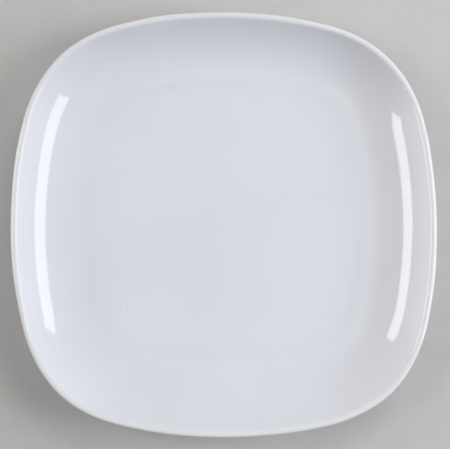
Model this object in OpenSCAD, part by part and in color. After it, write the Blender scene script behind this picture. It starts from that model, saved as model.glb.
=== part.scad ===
/* [Outline] */
// Width of the plate across its flats, over the glaze
plate_w = 260; // [220:5:300]
// Radius of each of the four gently bowed sides
side_r = 285; // [260:5:400]
// Radius of each rounded corner
corner_r = 80; // [70:1:90]

/* [Section] */
// Depth of the flat well below the rim
well_depth = 20; // [15:0.5:26]
// Width of the upswept wall, from the rim's edge to the flat well
wall_w = 47; // [38:1:54]
// Thickness of the rounded lip
rim_t = 4; // [3:0.1:5.5]
// Thickness of the floor under the well
base_t = 4.25; // [3.6:0.05:6.5]

/* [Foot ring] */
// Height of the foot ring under the floor
foot_h = 3; // [2.4:0.1:5]
// Distance from the edge of the well in to the foot ring
foot_set = 3; // [2.7:0.1:10]
// Width of the foot ring where it meets the table
foot_w = 6; // [5:0.1:9]
// How far each side of the foot ring leans over its height
foot_lean = 0.875; // [0.4:0.025:1.4]
// Radius that blends the foot ring into the floor
foot_fillet = 2.4; // [1.2:0.1:2.4]
// Radius of the foot ring's two lower edges
foot_round = 0.72; // [0.4:0.02:0.9]

/* [Glaze] */
// Thickness of the fired glaze
glaze_t = 0.24; // [0.16:0.02:0.4]
// Height of the bare band that is wiped clean of glaze on the foot ring
bare_h = 1.2; // [1:0.1:1.8]

/* [Hidden] */

// Steps of a full turn, for the section's arcs and for the sweeps in plan
arc_steps = 96;
turn_steps = 240;

// Cuts run this far past what they cut, and sweeps turn this many degrees past their cuts
overrun = 10;
sweep_lap = 3;

// Outline in plan: a chain of eight tangent arcs. A side's centre lies on an axis,
// a corner's on a diagonal, and the seam between them runs through both centres.
half_w = plate_w / 2;
side_c = side_r - half_w;
core_r = side_r - corner_r;
corner_c = (sqrt(2 * core_r * core_r - side_c * side_c) - side_c) / 2;
seam_angle = atan2(corner_c, corner_c + side_c);

// Section through the wall. Its first axis is the distance in from the rim's edge.
well_z = foot_h + base_t;
plate_h = well_z + well_depth;
floor_mid = foot_h + base_t / 2;
lip_r = rim_t / 2;
lip = [lip_r, plate_h - lip_r];
run = wall_w - lip_r;

// Inner face of the wall: an arc tangent to the well and to the lip
inner_r = (run * run + well_depth * well_depth) / (2 * well_depth) - lip_r;
inner_c = [wall_w, well_z + inner_r];

// Outer face of the wall: an arc tangent to the floor's underside and to the lip
drop = plate_h - rim_t - foot_h;
outer_r = (run * run + drop * drop) / (2 * drop) + lip_r;
outer_c = [wall_w, foot_h + outer_r];

// The cut between the outer arc and the lip ends here, past the lip
past_lip_share = 0.2;
lip_seam = lip + past_lip_share * (lip - outer_c);

// Foot ring: the direction from a blend's centre to the side it meets, and that centre
foot_in = wall_w + foot_set;
foot_mid = foot_in + foot_w / 2;
slant = sqrt(foot_h * foot_h + foot_lean * foot_lean);
foot_dir = [foot_h, foot_lean] / slant;
blend_z = foot_h - foot_fillet;
blend = [foot_in - (foot_lean * blend_z + foot_fillet * slant) / foot_h, blend_z];

// The upswept wall between its two arcs, inset by a coat's thickness.
// Each arc is placed by its own radius, so that its lowest point meets the floor exactly.
module wall_shape(inset) {
    intersection() {
        difference() {
            translate([wall_w, foot_h])
                translate([0, outer_r])
                    circle(outer_r - inset, $fn = arc_steps);
            translate([wall_w, well_z])
                translate([0, inner_r])
                    circle(inner_r + inset, $fn = arc_steps);
        }
        polygon([inner_c, lip, lip_seam, [lip_seam.x, 0], [wall_w, 0]]);
    }
}

// The rounded lip, cut along the same two lines that end the wall's arcs
module lip_shape(inset) {
    intersection() {
        translate(lip)
            circle(lip_r - inset, $fn = arc_steps);
        polygon([lip, inner_c, [lip_seam.x, inner_c.y], lip_seam]);
    }
}

// The outer half of the foot ring's section, blended into the floor and rounded at its edge
module foot_half(inset) {
    r = foot_fillet + inset;
    side = blend + r * foot_dir;
    edge = [foot_in + (inset * slant + foot_round * (slant - foot_lean)) / foot_h, foot_round];
    difference() {
        polygon([[foot_mid, 0], [side.x + foot_lean * side.y / foot_h, 0], side,
                 blend, [blend.x, floor_mid], [foot_mid, floor_mid]]);
        translate(blend)
            circle(r, $fn = arc_steps);
        translate(edge)
            difference() {
                polygon(2 * foot_round * [[0, 0], -foot_dir, [-1, -1], [0, -1]]);
                circle(foot_round, $fn = arc_steps);
            }
    }
}

// The plate's section as far in as a given reach, with its faces inset by a coat's thickness
module plate_shape(inset, reach) {
    wall_shape(inset);
    lip_shape(inset);
    foot_half(inset);
    translate([2 * foot_mid, 0])
        mirror([1, 0])
            foot_half(inset);
    translate([wall_w, foot_h + inset])
        square([reach - wall_w, base_t - 2 * inset]);
}

// The glaze's section: what lies between the plate's faces and the clay, above the bare band
module glaze_shape(reach) {
    difference() {
        plate_shape(0, reach);
        plate_shape(glaze_t, reach);
        translate([0, -overrun])
            square([reach, overrun + bare_h]);
    }
}

// The part of that on the inside of the foot ring
module under_shape(reach) {
    intersection() {
        glaze_shape(reach);
        translate([foot_mid, 0])
            square([reach - foot_mid, floor_mid]);
    }
}

// The rest of it: the face, the lip and the outside, down to the bare band
module coat_shape(reach) {
    difference() {
        glaze_shape(reach);
        translate([foot_mid, -overrun])
            square([reach - foot_mid + overrun, overrun + floor_mid]);
    }
}

// Turns a section about the centre of an arc of the outline, which passes through the origin
module turned(radius, start, angle) {
    translate([-radius, 0])
        rotate_extrude(start = start, angle = angle, $fn = turn_steps)
            translate([radius, 0])
                mirror([1, 0])
                    children();
}

// An eighth of the plate, from the middle of its right side to a corner's middle. Both
// arcs are turned from the point of the rim where they meet, so their ends match exactly.
module eighth() {
    intersection() {
        translate([-side_c, 0])
            rotate(seam_angle)
                translate([side_r, 0]) {
                    turned(side_r, -seam_angle - sweep_lap, seam_angle + sweep_lap)
                        children(0);
                    turned(corner_r, 0, 45 - seam_angle + sweep_lap)
                        children(1);
                }
        translate([0, 0, -overrun])
            linear_extrude(plate_h + 2 * overrun)
                polygon(plate_w * [[0, 0], [1, 0], [1, 1]]);
    }
}

// Carries a section round the whole outline: first the sides' section, then the corners'
module round_the_plate() {
    for (turn = [0 : 90 : 270])
        rotate(turn) {
            eighth() {
                children(0);
                children(1);
            }
            mirror([0, 1])
                eighth() {
                    children(0);
                    children(1);
                }
        }
}

// The fired clay: floor, upswept wall, lip and foot ring in one piece
module porcelain_body() {
    color("#efece6")
        round_the_plate() {
            plate_shape(glaze_t, half_w + overrun);
            plate_shape(glaze_t, corner_r);
        }
}

// The glaze over the face and the lip, and down the outside to the bare band
module glaze_coat() {
    color("#dfe3ec")
        round_the_plate() {
            coat_shape(half_w + overrun);
            coat_shape(corner_r);
        }
}

// The glaze inside the foot ring
module underside_glaze() {
    color("#dbe0e9")
        round_the_plate() {
            under_shape(half_w + overrun);
            under_shape(corner_r);
        }
}

porcelain_body();
glaze_coat();
underside_glaze();
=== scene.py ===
import math

import bpy
import numpy as np
from mathutils import Matrix


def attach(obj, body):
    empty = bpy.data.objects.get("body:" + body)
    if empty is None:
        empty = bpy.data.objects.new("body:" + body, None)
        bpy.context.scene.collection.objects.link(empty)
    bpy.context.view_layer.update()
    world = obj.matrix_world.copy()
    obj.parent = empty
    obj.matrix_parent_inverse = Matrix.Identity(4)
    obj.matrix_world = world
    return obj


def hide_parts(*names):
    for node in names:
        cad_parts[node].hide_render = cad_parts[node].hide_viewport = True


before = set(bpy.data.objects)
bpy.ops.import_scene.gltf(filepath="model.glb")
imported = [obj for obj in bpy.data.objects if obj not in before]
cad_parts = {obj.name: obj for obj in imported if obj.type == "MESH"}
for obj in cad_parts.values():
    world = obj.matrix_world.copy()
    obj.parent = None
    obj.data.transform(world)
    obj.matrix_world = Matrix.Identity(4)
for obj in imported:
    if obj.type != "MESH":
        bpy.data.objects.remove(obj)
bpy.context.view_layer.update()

# The plate's sizes in millimetres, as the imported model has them
MM = 0.001
PLATE_W, SIDE_R, CORNER_R = 260.0, 285.0, 80.0
WELL_DEPTH, WALL_W, RIM_T, BASE_T = 20.0, 47.0, 4.0, 4.25
FOOT_H, FOOT_SET, FOOT_W, FOOT_LEAN = 3.0, 3.0, 6.0, 0.875
FOOT_FILLET, FOOT_ROUND = 2.4, 0.72
GLAZE_T, BARE_H = 0.24, 1.2

# How far the floor of the well sinks in the firing, and the radius of the part that does
SLUMP, SLUMP_R = 0.12, 60.0

# The wiped edge of the glaze: how far it wanders up and down, how far up the foot ring that tells, and
# how much fatter its bead is. The wander is three waves: how many go round, where each starts, its share
WIPE, WIPE_H, BEAD = 0.09, 0.35, 0.03
WIPE_WAVES = ((5, 1.1, 0.5), (17, 4.0, 0.3), (43, 2.3, 0.2))

# The glaze runs together above the foot ring: how far in from the edge, over what width and what height
POOL_IN, POOL_W, POOL_H = 48.5, 3.0, 1.6

# The bend from the flat well into the wall comes on evenly over this length. The bend that follows it is
# looked for between two values, each one over a radius
EASE = 26.0
SLACK_BEND, TIGHT_BEND = 1 / 90, 1 / 40

# A sponge rounds the lip by hand. Its top lies CROWN in from its widest point and CHEEK above it, and
# LIP_IN is the mean radius on its inner side. Its two sides each have a flatter shoulder: how far that
# leans in, in degrees, how much the radius grows there, and over how many degrees
CROWN, CHEEK, LIP_IN = 1.7, 1.4, 3.2
SHOULDERS = ((33.0, 8.0, 3.0), (-11.0, 5.0, 4.0))
NO_SHOULDER = (0.0, 0.0, 1.0)

# The kiln leaves the edge a little out of true in plan: each swell's direction in degrees from +X, its
# width in degrees and how far it stands out. They fade over SWELL_IN in from the edge, and SWELL_TAIL
# keeps their tails inside the plate's width
SWELL_IN, SWELL_TAIL = 6.0, 0.01
SWELLS = (
    (22, 6, 0.34), (44, 11, 0.21), (61, 9, -0.62), (108, 8, 0.50), (119, 11, -0.56),
    (132, 7, 0.42), (162, 8, 0.47), (209, 11, -0.99), (227, 8, 0.31), (241, 7, -0.46),
    (292, 11, 0.45), (314, 9, 1.18), (343, 7, 0.28),
)

# Steps round the plate: each bowed side and each corner. Steps along the section: the wall, the lip, the
# outer face, the blend into the foot ring and its rolled edge
SIDE_STEPS, CORNER_STEPS = 48, 72
WALL_STEPS, LIP_STEPS, OUTER_STEPS, BLEND_STEPS, ROLL_STEPS = 44, 32, 28, 9, 10
# Fine steps for the running sums: along the wall's line of WALL_LINE, and in each part of the lip
WALL_LINE, WALL_SUMS, LIP_SUMS = 80, 1601, 400


# The outline and the section

SIDE_C = SIDE_R - PLATE_W / 2
CORNER_C = (math.sqrt(2 * (SIDE_R - CORNER_R) ** 2 - SIDE_C ** 2) - SIDE_C) / 2
SEAM = math.atan2(CORNER_C, CORNER_C + SIDE_C)
WELL_Z = FOOT_H + BASE_T
PLATE_H = WELL_Z + WELL_DEPTH
LIP_R = RIM_T / 2
LIP = (LIP_R, PLATE_H - LIP_R)
RUN, DROP = WALL_W - LIP_R, PLATE_H - RIM_T - FOOT_H
OUTER_R = (RUN ** 2 + DROP ** 2) / (2 * DROP) + LIP_R
FOOT_IN = WALL_W + FOOT_SET
FOOT_MID = FOOT_IN + FOOT_W / 2
SLANT = math.hypot(FOOT_H, FOOT_LEAN)
BLEND_Z = FOOT_H - FOOT_FILLET
BLEND = (FOOT_IN - (FOOT_LEAN * BLEND_Z + FOOT_FILLET * SLANT) / FOOT_H, BLEND_Z)
LEAN = math.atan2(FOOT_LEAN, FOOT_H)
# Past FLAT_IN in from the rim, rings of the flat floor shrink towards the middle. The section line starts
# FLAT_LEAD nearer to the rim
FLAT_IN, FLAT_LEAD = 64.0, 2.0
# Points nearer than RING_REACH to the middle of the foot ring are on the ring, and its standing face has
# points STAND_STEP to each side of that middle
RING_REACH, STAND_STEP = 5.0, 1.0
QUARTER = math.pi / 2


def rim():
    """The rim in plan, the direction out from it and how far the kiln has moved it out. A quarter is an
    arc of SIDE_R about a point on the axis, then an arc of CORNER_R about a point on the diagonal, and it
    is turned four times. Each swell adds its height times the bell curve of the angle to its middle."""
    a = np.linspace(-SEAM, SEAM, SIDE_STEPS, endpoint=False)
    b = np.linspace(SEAM, QUARTER - SEAM, CORNER_STEPS, endpoint=False)
    angle = np.concatenate([a, b])
    radius = np.concatenate([np.full(a.size, SIDE_R), np.full(b.size, CORNER_R)])
    centre = np.concatenate([np.tile([-SIDE_C, 0.0], (a.size, 1)),
                             np.tile([CORNER_C, CORNER_C], (b.size, 1))])
    out = np.column_stack([np.cos(angle), np.sin(angle)])
    at = centre + radius[:, None] * out
    turn = np.arange(4)[:, None] * QUARTER
    c, s = np.cos(turn), np.sin(turn)

    def four_times(p):
        return np.stack([c * p[:, 0] - s * p[:, 1], s * p[:, 0] + c * p[:, 1]], -1).reshape(-1, 2)

    at, out = four_times(at), four_times(out)
    where, wide, high = np.array(SWELLS).T
    off = (np.degrees(np.arctan2(at[:, 1], at[:, 0]))[:, None] - where + 180) % 360 - 180
    swell = (high * np.exp(-(off / wide) ** 2)).sum(1)[:, None] - SWELL_TAIL
    return at, out, swell


def arc(centre, radius, start, end, steps):
    """Points of a circle between two angles: centre + radius * (cos, sin)."""
    a = np.linspace(start, end, steps)
    return np.column_stack([centre[0] + radius * np.cos(a), centre[1] + radius * np.sin(a)])


def eased_wall(bend):
    """The inner face from the well up. Its curvature grows evenly from none to bend over EASE and then
    stays, so its slope is the curvature's running sum, and a point is the running sum of the slope's
    cosine and sine. Returns the points and the slope at each."""
    along = np.linspace(0, WALL_LINE, WALL_SUMS)
    step = along[1]
    slope = np.cumsum(bend * np.clip(along / EASE, 0, 1)) * step
    inward = WALL_W + EASE / 2 - np.cumsum(np.cos(slope)) * step
    return np.column_stack([inward, WELL_Z + np.cumsum(np.sin(slope)) * step]), slope


def inner_wall(inset, steps):
    """The eased wall up to where it meets the lip, moved into the clay by inset. Its bend is the one
    that brings it to the lip: forty halvings find where its line, moved in by LIP_IN, runs through the
    point that lies LIP_IN below the lip's top."""
    low, high = SLACK_BEND, TIGHT_BEND
    for _ in range(40):
        bend = (low + high) / 2
        line, slope = eased_wall(bend)
        heart = line + LIP_IN * np.column_stack([-np.sin(slope), -np.cos(slope)])
        rises = np.interp(-CROWN, -heart[:, 0], heart[:, 1])
        low, high = (bend, high) if rises < PLATE_H - LIP_IN else (low, bend)
    whole = np.arange(len(line))
    pick = np.linspace(0, np.interp(-CROWN, -heart[:, 0], whole), steps)
    line = np.column_stack([np.interp(pick, whole, line[:, k]) for k in (0, 1)])
    slope = np.interp(pick, whole, slope)
    return line - inset * np.column_stack([np.sin(slope), np.cos(slope)]), slope[-1]


def sponged_lip(inset, steps, slope, tuck):
    """The lip from the wall over its top and its side to the outer face, moved into the clay by inset.
    It has three parts, each with the angles it turns through and how far it goes in and up. The radius
    is a bell curve at the shoulder plus an even part, a straight line in the angle, which two sums fix:
    radius times sine is the way in, radius times cosine the way up."""
    over = LIP_IN * math.sin(slope), LIP_IN * (1 - math.cos(slope))
    under = LIP_R * (math.cos(tuck) - 1), CHEEK - LIP_R - LIP_R * math.sin(tuck)
    parts = ((QUARTER - slope, QUARTER, *over), (QUARTER, math.pi, CROWN, -CHEEK),
             (math.pi, math.pi + tuck, *under))
    angle, radius, turn = [], [], []
    for (start, end, inward, up), (lean, more, spread) in zip(parts, (*SHOULDERS, NO_SHOULDER)):
        step = (end - start) / LIP_SUMS
        a = start + step * (np.arange(LIP_SUMS) + 0.5)
        bell = more * np.exp(-((a - QUARTER + math.radians(lean)) / math.radians(spread)) ** 2)
        ways = step * np.array([np.sin(a), np.cos(a)])
        line = np.array([np.ones(LIP_SUMS), (a - start) / (end - start)])
        even = np.linalg.solve(ways @ line.T, np.array([inward, up]) - ways @ bell)
        angle.append(a)
        radius.append(bell + line.T @ even)
        turn.append(np.full(LIP_SUMS, step))
    angle, radius, turn = (np.concatenate(k) for k in (angle, radius, turn))
    travel = (radius * turn)[:, None] * np.column_stack([-np.sin(angle), np.cos(angle)])
    first = np.array([CROWN + over[0], PLATE_H - over[1]])
    line = np.concatenate([[first], first + np.cumsum(travel, 0)])
    angle = QUARTER - slope + np.concatenate([[0], np.cumsum(turn)])
    line = line - inset * np.column_stack([np.cos(angle), np.sin(angle)])
    # The points are spaced by angle and by length together
    far = angle + np.concatenate([[0], np.cumsum(radius * turn)]) / LIP_R
    pick = np.linspace(far[0], far[-1], steps)
    return np.column_stack([np.interp(pick, far, line[:, k]) for k in (0, 1)])


def face_line(inset, fine=1.0):
    """The plate's upper and outer face in section, from the flat well over the lip to the top of the
    foot ring's side: the eased wall, the sponged lip, an arc and the blend, each tangent to the next,
    moved into the clay by inset. The first number is the distance in from the rim's edge, the second
    the height. Fine is the share of the steps that it takes."""
    wall_n, lip_n, outer_n, blend_n = (
        max(4, int(round(n * fine))) for n in (WALL_STEPS, LIP_STEPS, OUTER_STEPS, BLEND_STEPS))
    outer_c = (WALL_W, FOOT_H + OUTER_R)
    wall, slope = inner_wall(inset, wall_n)
    to_outer = math.atan2(outer_c[1] - LIP[1], outer_c[0] - LIP[0])
    return np.concatenate([
        [[FLAT_IN - FLAT_LEAD, WELL_Z - inset]],
        wall[:-1],
        sponged_lip(inset, lip_n, slope, to_outer),
        arc(outer_c, OUTER_R - inset, math.pi + to_outer, 3 * QUARTER, outer_n)[1:],
        arc(BLEND, FOOT_FILLET + inset, QUARTER, LEAN, blend_n),
    ])


def foot_side(height, off):
    """A point off the clay of the foot ring's outer side, at a height on the clay."""
    clay = FOOT_IN + (GLAZE_T * SLANT - FOOT_LEAN * height) / FOOT_H
    return [clay - off * math.cos(LEAN), height - off * math.sin(LEAN)]


def mirrored(line):
    """The other side of the foot ring: the line turned over about the ring's middle, run backwards."""
    return np.column_stack([2 * FOOT_MID - line[:, 0], line[:, 1]])[::-1]


def glaze_bead():
    """The wiped edge of a glaze: it fattens a little, then rolls down onto the clay of the foot ring."""
    return np.array([foot_side(BARE_H + up, thick) for up, thick in (
        (0.14, GLAZE_T + 0.8 * BEAD), (0.09, GLAZE_T + BEAD), (0.04, 0.92 * GLAZE_T),
        (0.01, 0.6 * GLAZE_T), (0.0, 0.3 * GLAZE_T), (0.0, 0.0))])


def flat_rings(height):
    """Rings of the flat floor as shares that they shrink by, from the middle out, all at one height."""
    share = np.array([1.0, 0.93, 0.8, 0.66, 0.52, 0.38, 0.24, 0.1, 0.0])
    return np.column_stack([np.full(share.size, FLAT_IN), np.full(share.size, height)]), share


def shares(first, middle, last):
    """The shrink shares of a section line: its first rings', none for the lines between, its last."""
    return np.concatenate([first, np.zeros(sum(map(len, middle))), last])


def carried(name, line, shrink, wiped):
    """A closed skin: the section line carried round the outline. A point is the rim's point moved in by
    its distance along the rim's own direction, out again by the kiln's swell times the bell curve of
    that distance, then drawn towards the plate's axis by its shrink share.
    The floor sinks by SLUMP * (1 - r^2 / SLUMP_R^2)^2. Where a line ends on the wiped edge of the glaze,
    that edge wanders by three waves that close round the ring. The line's two ends are poles."""
    at, out, swell = rim()
    count, steps = len(at), len(line)
    d, z = line[:, 0], line[:, 1]
    moved = swell * np.exp(-(d / SWELL_IN) ** 2) - d
    x, y = ((at[:, None, k] + out[:, None, k] * moved) * (1 - shrink) for k in (0, 1))
    lap = np.linspace(0, 2 * math.pi, count, endpoint=False)
    wander = sum(share * np.sin(waves * lap + start) for waves, start, share in WIPE_WAVES)
    on_foot = np.abs(d - FOOT_MID) < RING_REACH
    near_edge = np.clip(1 - np.abs(z - BARE_H) / WIPE_H, 0, 1) * on_foot * wiped
    height = z + WIPE * wander[:, None] * near_edge
    height = height - SLUMP * np.clip(1 - (x ** 2 + y ** 2) / SLUMP_R ** 2, 0, 1) ** 2
    rings = np.stack([x, y, height], -1)[:, 1:-1].transpose(1, 0, 2).reshape(-1, 3)
    poles = np.array([[0, 0, z[0] - SLUMP], [0, 0, z[-1] - SLUMP]])
    points = np.concatenate([poles[:1], rings, poles[1:]]) * MM

    ring = 1 + np.arange(steps - 2)[:, None] * count
    here, ahead = np.arange(count)[None, :], np.roll(np.arange(count), -1)[None, :]
    inner, outer = ring[:-1], ring[1:]
    quads = np.stack([inner + here, outer + here, outer + ahead, inner + ahead], -1).reshape(-1, 4)
    zero = np.zeros(count, int)
    first = np.stack([zero, 1 + here[0], 1 + ahead[0]], -1)
    last = np.stack([zero + len(points) - 1, ring[-1, 0] + ahead[0], ring[-1, 0] + here[0]], -1)

    mesh = bpy.data.meshes.new(name)
    mesh.vertices.add(len(points))
    mesh.vertices.foreach_set("co", points.astype(np.float32).ravel())
    corners = np.concatenate([first.ravel(), quads.ravel(), last.ravel()]).astype(np.int32)
    sizes = np.concatenate([np.full(count, 3), np.full(len(quads), 4), np.full(count, 3)])
    starts = np.concatenate([[0], np.cumsum(sizes)[:-1]]).astype(np.int32)
    mesh.loops.add(corners.size)
    mesh.loops.foreach_set("vertex_index", corners)
    mesh.polygons.add(sizes.size)
    mesh.polygons.foreach_set("loop_start", starts)
    mesh.update(calc_edges=True)
    mesh.validate()
    mesh.shade_smooth()
    piece = bpy.data.objects.new(name, mesh)
    bpy.context.scene.collection.objects.link(piece)

    # How thick the glaze lies, from 0 on the rolled lip to 1 where it runs together above the foot ring
    pool = np.exp(-((z - FOOT_H) / POOL_H) ** 2 - ((d - POOL_IN) / POOL_W) ** 2)
    thin = np.clip((z - LIP[1]) / LIP_R, 0, 1) * (d < 2 * RIM_T)
    lie = 0.5 + 0.5 * pool - 0.5 * thin
    values = np.concatenate([lie[:1], np.repeat(lie[1:-1], count), lie[-1:]]).astype(np.float32)
    mesh.attributes.new("glaze_lie", "FLOAT", "POINT").data.foreach_set("value", values)
    return piece


def glazed_face():
    """The glaze over the well, the wall, the lip and the outside: out along its face, round its wiped
    edge, and back along the clay."""
    top, top_share = flat_rings(WELL_Z)
    under, under_share = flat_rings(WELL_Z - GLAZE_T)
    middle = [face_line(0), glaze_bead(), face_line(GLAZE_T, 0.5)[::-1]]
    return carried("glazed_porcelain_face", np.concatenate([top, *middle, under[::-1]]),
                   shares(top_share, middle, under_share[::-1]), True)


def glazed_underside():
    """The glaze inside the foot ring: out along the clay, round its wiped edge, and back along its
    face."""
    top, top_share = flat_rings(FOOT_H + GLAZE_T)
    low, low_share = flat_rings(FOOT_H)
    clay, skin = (mirrored(arc(BLEND, FOOT_FILLET + inset, QUARTER, LEAN, BLEND_STEPS))
                  for inset in (GLAZE_T, 0))
    middle = [clay[::-1], mirrored(glaze_bead()), skin]
    return carried("glazed_porcelain_underside", np.concatenate([top, *middle, low[::-1]]),
                   shares(top_share, middle, low_share[::-1]), True)


def bare_foot():
    """The clay itself, which shows only on the foot ring: out under the glaze, over the lip, down to the
    ring, round its two rolled edges and its standing face, and back under the floor."""
    top, top_share = flat_rings(WELL_Z - GLAZE_T)
    low, low_share = flat_rings(FOOT_H + GLAZE_T)
    edge_in = FOOT_IN + (GLAZE_T * SLANT + FOOT_ROUND * (SLANT - FOOT_LEAN)) / FOOT_H
    rolled = arc((edge_in, FOOT_ROUND), FOOT_ROUND, math.pi + LEAN, 3 * QUARTER, ROLL_STEPS)
    half = np.concatenate([rolled, [[FOOT_MID - STAND_STEP, 0]]])
    blend = arc(BLEND, FOOT_FILLET + GLAZE_T, QUARTER, LEAN, BLEND_STEPS)
    middle = [face_line(GLAZE_T), half, mirrored(half), mirrored(blend)]
    return carried("bare_porcelain_foot", np.concatenate([top, *middle, low[::-1]]),
                   shares(top_share, middle, low_share[::-1]), False)


# Materials

def linear(code):
    """A colour written as sRGB hex, turned to linear light."""
    c = np.array([int(code[k:k + 2], 16) for k in (1, 3, 5)]) / 255
    return (*np.where(c <= 0.04045, c / 12.92, ((c + 0.055) / 1.055) ** 2.4), 1.0)


def every(length):
    """The scale of a noise whose blotches lie about so many millimetres apart."""
    return 1 / MM / length


def add(tree, kind, links=None, **settings):
    """Adds a node with its settings. A link's value is another node's socket, a plain number or a
    colour."""
    made = tree.nodes.new(kind)
    for key, value in settings.items():
        setattr(made, key, value)
    for key, value in (links or {}).items():
        if isinstance(value, bpy.types.NodeSocket):
            tree.links.new(value, made.inputs[key])
        else:
            made.inputs[key].default_value = value
    return made


def material(name):
    """An empty node material and its tree."""
    made = bpy.data.materials.new(name)
    made.use_nodes = True
    made.node_tree.nodes.clear()
    return made, made.node_tree


# Iron specks in the well, and a white spot on the lip that is a painted highlight, a glint painted into the
# glaze's colour: each one's middle and radius in millimetres, how strongly it shows and its colour
IRON, PAINTED_GLINT = "#6B6A6E", "#F6F7F9"
SPECKS = (
    (-61.1, -52.4, 7.25, 0.75, 0.30, IRON), (-51.9, -65.2, 7.25, 0.65, 0.20, IRON),
    (76.4, -73.9, 8.1, 0.8, 0.25, IRON), (112.1, 81.5, 26.4, 1.1, 0.80, PAINTED_GLINT),
)


def glazed_porcelain():
    """Hard-paste porcelain under a clear feldspar glaze, fired once more at high heat. The white body
    shows through with a faint blue, warmer where the glaze thins over the lip and bluer where it pools.
    The fired face is as smooth as glass, with a long shallow ripple and a few iron specks. A white spot on
    the lip is a painted highlight."""
    made, tree = material("glazed_porcelain")
    where = add(tree, "ShaderNodeTexCoord").outputs["Object"]
    lie = add(tree, "ShaderNodeAttribute", attribute_name="glaze_lie").outputs["Fac"]
    shade = add(tree, "ShaderNodeValToRGB", {"Fac": lie})
    stops = shade.color_ramp.elements
    stops[0].position, stops[0].color = 0.0, linear("#DFE1E5")
    stops[1].position, stops[1].color = 1.0, linear("#D3D9E6")
    stops.new(0.5).color = linear("#DCDEE6")
    # The glaze lies unevenly over areas as wide as a hand's breadth
    drift = add(tree, "ShaderNodeTexNoise",
                {"Vector": where, "Scale": every(55), "Detail": 4.0, "Roughness": 0.6})
    drift = add(tree, "ShaderNodeMapRange", {
        "Value": drift.outputs["Fac"], "From Min": 0.35, "From Max": 0.65,
        "To Min": 0.975, "To Max": 1.0})
    tone = add(tree, "ShaderNodeMix",
               {"Factor": 1.0, "A": shade.outputs["Color"], "B": drift.outputs["Result"]},
               data_type="RGBA", blend_type="MULTIPLY")
    # Each speck fades out from its middle. The white one on the lip is a painted highlight.
    for x, y, z, size, strength, hue in SPECKS:
        gap = add(tree, "ShaderNodeVectorMath", {0: where, 1: (x * MM, y * MM, z * MM)},
                  operation="DISTANCE")
        speck = add(tree, "ShaderNodeMapRange", {
            "Value": gap.outputs["Value"], "From Min": 0.3 * size * MM, "From Max": size * MM,
            "To Min": strength, "To Max": 0.0})
        tone = add(tree, "ShaderNodeMix",
                   {"Factor": speck.outputs["Result"], "A": tone.outputs["Result"], "B": linear(hue)},
                   data_type="RGBA")
    # The ripple of the melted glaze, 9 mm from crest to crest and some thousandths of a millimetre high
    ripple = add(tree, "ShaderNodeTexNoise", {"Vector": where, "Scale": every(9), "Detail": 0.0})
    bump = add(tree, "ShaderNodeBump",
               {"Strength": 1.0, "Distance": 0.008 * MM, "Height": ripple.outputs["Fac"]})
    skin = add(tree, "ShaderNodeBsdfPrincipled", {
        "Base Color": tone.outputs["Result"], "Normal": bump.outputs["Normal"],
        "Roughness": 0.06, "IOR": 1.52})
    add(tree, "ShaderNodeOutputMaterial", {"Surface": skin.outputs["BSDF"]})
    return made


def bare_porcelain():
    """Vitrified porcelain with its glaze wiped away and the ring polished with a stone. It is a dry,
    warmer white with a fine grain, greyed where it has stood and slid on shelves and tables."""
    made, tree = material("bare_porcelain")
    where = add(tree, "ShaderNodeTexCoord").outputs["Object"]
    grain = add(tree, "ShaderNodeTexNoise", {"Vector": where, "Scale": every(0.7), "Detail": 2.0})
    shade = add(tree, "ShaderNodeMix",
                {"Factor": grain.outputs["Fac"], "A": linear("#E2DED6"), "B": linear("#F0EDE6")},
                data_type="RGBA")
    # Wear on the standing face only, in patches some 20 mm long
    height = add(tree, "ShaderNodeSeparateXYZ", {"Vector": where}).outputs["Z"]
    stood = add(tree, "ShaderNodeMapRange", {
        "Value": height, "From Min": 0.02 * MM, "From Max": 0.18 * MM, "To Min": 1.0, "To Max": 0.0})
    patch = add(tree, "ShaderNodeTexNoise",
                {"Vector": where, "Scale": every(20), "Detail": 5.0, "Roughness": 0.7})
    patch = add(tree, "ShaderNodeMapRange", {
        "Value": patch.outputs["Fac"], "From Min": 0.42, "From Max": 0.68,
        "To Min": 0.05, "To Max": 0.5})
    worn = add(tree, "ShaderNodeMath", {0: stood.outputs["Result"], 1: patch.outputs["Result"]},
               operation="MULTIPLY")
    shade = add(tree, "ShaderNodeMix",
                {"Factor": worn.outputs["Value"], "A": shade.outputs["Result"], "B": linear("#A9A7A4")},
                data_type="RGBA")
    bump = add(tree, "ShaderNodeBump",
               {"Strength": 1.0, "Distance": 0.03 * MM, "Height": grain.outputs["Fac"]})
    skin = add(tree, "ShaderNodeBsdfPrincipled", {
        "Base Color": shade.outputs["Result"], "Normal": bump.outputs["Normal"],
        "Roughness": 0.72, "IOR": 1.5})
    add(tree, "ShaderNodeOutputMaterial", {"Surface": skin.outputs["BSDF"]})
    return made


# The pale grey that stands behind the plate in a low view. The floor goes over into it between two
# distances in metres, and it goes over into the walls between two heights, as the sine of the angle up
BACKDROP = "#BBBAB7"
FADE_FROM, FADE_TO = 0.22, 1.1
BACKDROP_FULL, BACKDROP_END = 0.10, 0.26


def shown_ray(tree):
    """1 for the camera's rays and for those that a shiny or a clear surface throws on, 0 for the
    light."""
    path = add(tree, "ShaderNodeLightPath")
    ray = path.outputs["Is Camera Ray"]
    for kind in ("Is Glossy Ray", "Is Transmission Ray"):
        ray = add(tree, "ShaderNodeMath", {0: ray, 1: path.outputs[kind]}, operation="MAXIMUM").outputs[0]
    return ray


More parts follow.
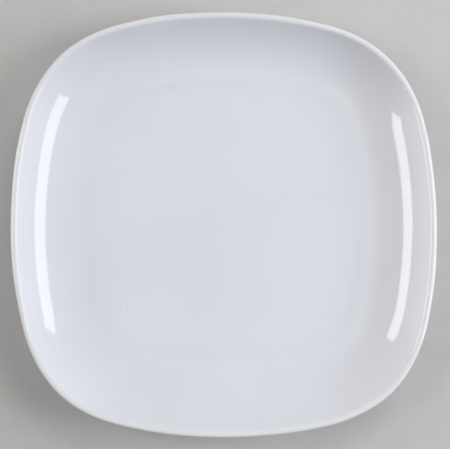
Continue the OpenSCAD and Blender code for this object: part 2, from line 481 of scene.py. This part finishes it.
def studio_board():
    """Painted board under the plate, a pale warm grey with a faint mottle some 30 mm across. From a
    quarter of a metre out it goes over, to the eye, into the backdrop's grey, so no horizon shows."""
    made, tree = material("painted_board")
    where = add(tree, "ShaderNodeTexCoord").outputs["Object"]
    mottle = add(tree, "ShaderNodeTexNoise",
                 {"Vector": where, "Scale": every(30), "Detail": 6.0, "Roughness": 0.65})
    shade = add(tree, "ShaderNodeMix",
                {"Factor": mottle.outputs["Fac"], "A": linear("#B7B6B5"), "B": linear("#C7C5C4")},
                data_type="RGBA")
    skin = add(tree, "ShaderNodeBsdfPrincipled", {"Base Color": shade.outputs["Result"], "Roughness": 0.9})
    away = add(tree, "ShaderNodeVectorMath", {0: where}, operation="LENGTH")
    away = add(tree, "ShaderNodeMapRange",
               {"Value": away.outputs["Value"], "From Min": FADE_FROM, "From Max": FADE_TO},
               interpolation_type="SMOOTHSTEP")
    fade = add(tree, "ShaderNodeMath", {0: away.outputs["Result"], 1: shown_ray(tree)},
               operation="MULTIPLY")
    far = add(tree, "ShaderNodeEmission", {"Color": linear(BACKDROP), "Strength": 1.0})
    both = add(tree, "ShaderNodeMixShader",
               {0: fade.outputs[0], 1: skin.outputs["BSDF"], 2: far.outputs[0]})
    add(tree, "ShaderNodeOutputMaterial", {"Surface": both.outputs[0]})
    return made


# The pieces on the frame

glaze, clay = glazed_porcelain(), bare_porcelain()
for make, node, finish, slot in ((glazed_face, "glaze_coat", glaze, "glaze"),
                                 (glazed_underside, "underside_glaze", glaze, "glaze"),
                                 (bare_foot, "porcelain_body", clay, "bare_porcelain")):
    piece = make()
    piece.data.materials.append(finish)
    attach(piece, "root")
    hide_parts(node)
    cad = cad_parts[node].data.materials
    cad.clear()
    cad.append(finish)


# The studio

def studio_floor():
    """A flat board, 8 m each way."""
    mesh = bpy.data.meshes.new("studio_floor")
    mesh.from_pydata([(-4, -4, 0), (4, -4, 0), (4, 4, 0), (-4, 4, 0)], [], [(0, 1, 2, 3)])
    mesh.materials.append(studio_board())
    board = bpy.data.objects.new("studio_floor", mesh)
    bpy.context.scene.collection.objects.link(board)


# Daylight is a little cooler than the strips' tubes and than what the studio's cream walls send back
COOL, PLAIN, TUBE, CREAM, WARM = "#F3F9FF", "#FFFFFF", "#FFFCF8", "#FFFEF9", "#FFF9F2"

# The strip lights: centre, the way the length runs, length and width in metres, and watts. Their places
# come from the rays that the wall of the plate throws back along the edges of the two bright bands
STRIPS = {
    "right_strip": ((0.727, -0.002, 0.720), (0.339, 0.940, -0.031), (0.536, 0.228), 1.75),
    "left_strip": ((-0.737, 0.091, 0.753), (0.529, 0.845, -0.075), (0.500, 0.190), 1.84),
}

# The soft lamps: azimuth and elevation in degrees, watts and colour. Both are LAMP_W wide and LAMP_FAR
# from the plate, in metres
LAMP_W, LAMP_FAR = 0.6, 1.2
LAMPS = {"right_lamp": (0, 25, 8.96, COOL), "back_lamp": (60, 40, 3.50, PLAIN)}

# Soft light from the studio's walls and ceiling, as lobes: azimuth and elevation in degrees, how narrow
# the lobe is (the power of the cosine), how strong it is at its middle, and its colour. The one with a
# minus darkens the ceiling straight above the plate
GLOW = (
    (180, 8, 10, 2.69, CREAM), (135, 8, 10, 1.10, WARM), (0, 8, 10, 0.96, WARM), (45, 8, 10, 0.58, WARM),
    (180, 38, 10, 0.41, PLAIN), (270, 64, 14, 0.85, COOL), (0, 90, 12, 0.33, WARM),
    (0, 90, 300, -0.43, PLAIN), (225, 79, 120, 1.31, WARM), (135, 79, 120, 0.78, COOL),
)


def direction(azimuth, elevation):
    """The way out along two angles in degrees: cos e cos a, cos e sin a, sin e."""
    a, e = math.radians(azimuth), math.radians(elevation)
    return np.array([math.cos(e) * math.cos(a), math.cos(e) * math.sin(a), math.sin(e)])


def area_light(name, shape, size, power, tint, axes, centre):
    """A flat light of two sizes, turned so that its own three axes lie along the given ones."""
    lamp = bpy.data.lights.new(name, "AREA")
    lamp.color = linear(tint)[:3]
    lamp.shape = shape
    lamp.size, lamp.size_y = size
    lamp.energy = power
    thing = bpy.data.objects.new(name, lamp)
    turn = np.eye(4)
    turn[:3] = np.column_stack([*axes, centre])
    thing.matrix_world = Matrix(turn.tolist())
    bpy.context.scene.collection.objects.link(thing)
    return thing


def studio_lights():
    """Two strip lights, one on each side of the plate, and two soft lamps. A strip's own z runs from the
    plate through its centre, square to its length, and its width runs square to both. A lamp faces the
    plate, and the glaze doesn't mirror it, so it only lights."""
    for name, (centre, along, size, power) in STRIPS.items():
        x, z = np.array(along) / np.linalg.norm(along), np.array(centre)
        z = z - x * (z @ x)
        z = z / np.linalg.norm(z)
        area_light(name, "RECTANGLE", size, power, TUBE, (x, np.cross(z, x), z), centre)
    for name, (azimuth, elevation, power, tint) in LAMPS.items():
        z, x = direction(azimuth, elevation), direction(azimuth + 90, 0)
        lamp = area_light(name, "DISK", (LAMP_W, LAMP_W), power, tint, (x, np.cross(z, x), z), LAMP_FAR * z)
        lamp.visible_glossy = False


def studio_world():
    """Pale walls and ceiling. Each lobe adds strength * max(0, cosine of the angle to its middle) ^
    narrow. Up to some 10 degrees above the floor a plain backdrop stands before them, which the light
    passes."""
    world = bpy.data.worlds.new("studio")
    world.use_nodes = True
    tree = world.node_tree
    tree.nodes.clear()
    towards = add(tree, "ShaderNodeTexCoord").outputs["Generated"]
    total = (0.0, 0.0, 0.0)
    for azimuth, elevation, narrow, strength, tint in GLOW:
        lobe = add(tree, "ShaderNodeVectorMath", {0: towards, 1: direction(azimuth, elevation)},
                   operation="DOT_PRODUCT")
        lobe = add(tree, "ShaderNodeMath", {0: lobe.outputs["Value"], 1: 0.0}, operation="MAXIMUM")
        lobe = add(tree, "ShaderNodeMath", {0: lobe.outputs[0], 1: float(narrow)}, operation="POWER")
        colour = [strength * part for part in linear(tint)[:3]]
        total = add(tree, "ShaderNodeVectorMath", {0: lobe.outputs[0], 1: colour, 2: total},
                    operation="MULTIPLY_ADD").outputs[0]
    glow = add(tree, "ShaderNodeBackground", {"Color": total, "Strength": 1.0})
    seen = add(tree, "ShaderNodeBackground", {"Color": linear(BACKDROP), "Strength": 1.0})
    height = add(tree, "ShaderNodeSeparateXYZ", {"Vector": towards}).outputs["Z"]
    low = add(tree, "ShaderNodeMapRange", {
        "Value": height, "From Min": BACKDROP_FULL, "From Max": BACKDROP_END,
        "To Min": 1.0, "To Max": 0.0}, interpolation_type="SMOOTHSTEP")
    fade = add(tree, "ShaderNodeMath", {0: low.outputs["Result"], 1: shown_ray(tree)},
               operation="MULTIPLY")
    both = add(tree, "ShaderNodeMixShader", {0: fade.outputs[0], 1: glow.outputs[0], 2: seen.outputs[0]})
    add(tree, "ShaderNodeOutputWorld", {"Surface": both.outputs[0]})
    bpy.context.scene.world = world


# The camera's place in metres, its turn in radians about X, Y and Z, and its focal length in pixels of
# a picture FRAME_PX wide
EYE, EYE_TURN = (-0.00882, -0.03027, 0.4607), (0.0644, -0.0201, -0.0031)
FOCAL_PX, FRAME_PX = 714.29, 450


def camera():
    """Straight down on the plate but for some 4 degrees, from 0.46 m, as the outline's perspective gives
    it."""
    lens = bpy.data.cameras.new("camera")
    lens.sensor_width = 36.0
    lens.lens = lens.sensor_width * FOCAL_PX / FRAME_PX
    lens.clip_start = 0.01
    view = bpy.data.objects.new("camera", lens)
    view.location = EYE
    view.rotation_euler = EYE_TURN
    bpy.context.scene.collection.objects.link(view)
    bpy.context.scene.camera = view


studio_floor()
studio_lights()
studio_world()
camera()
bpy.context.scene.view_settings.view_transform = "Standard"
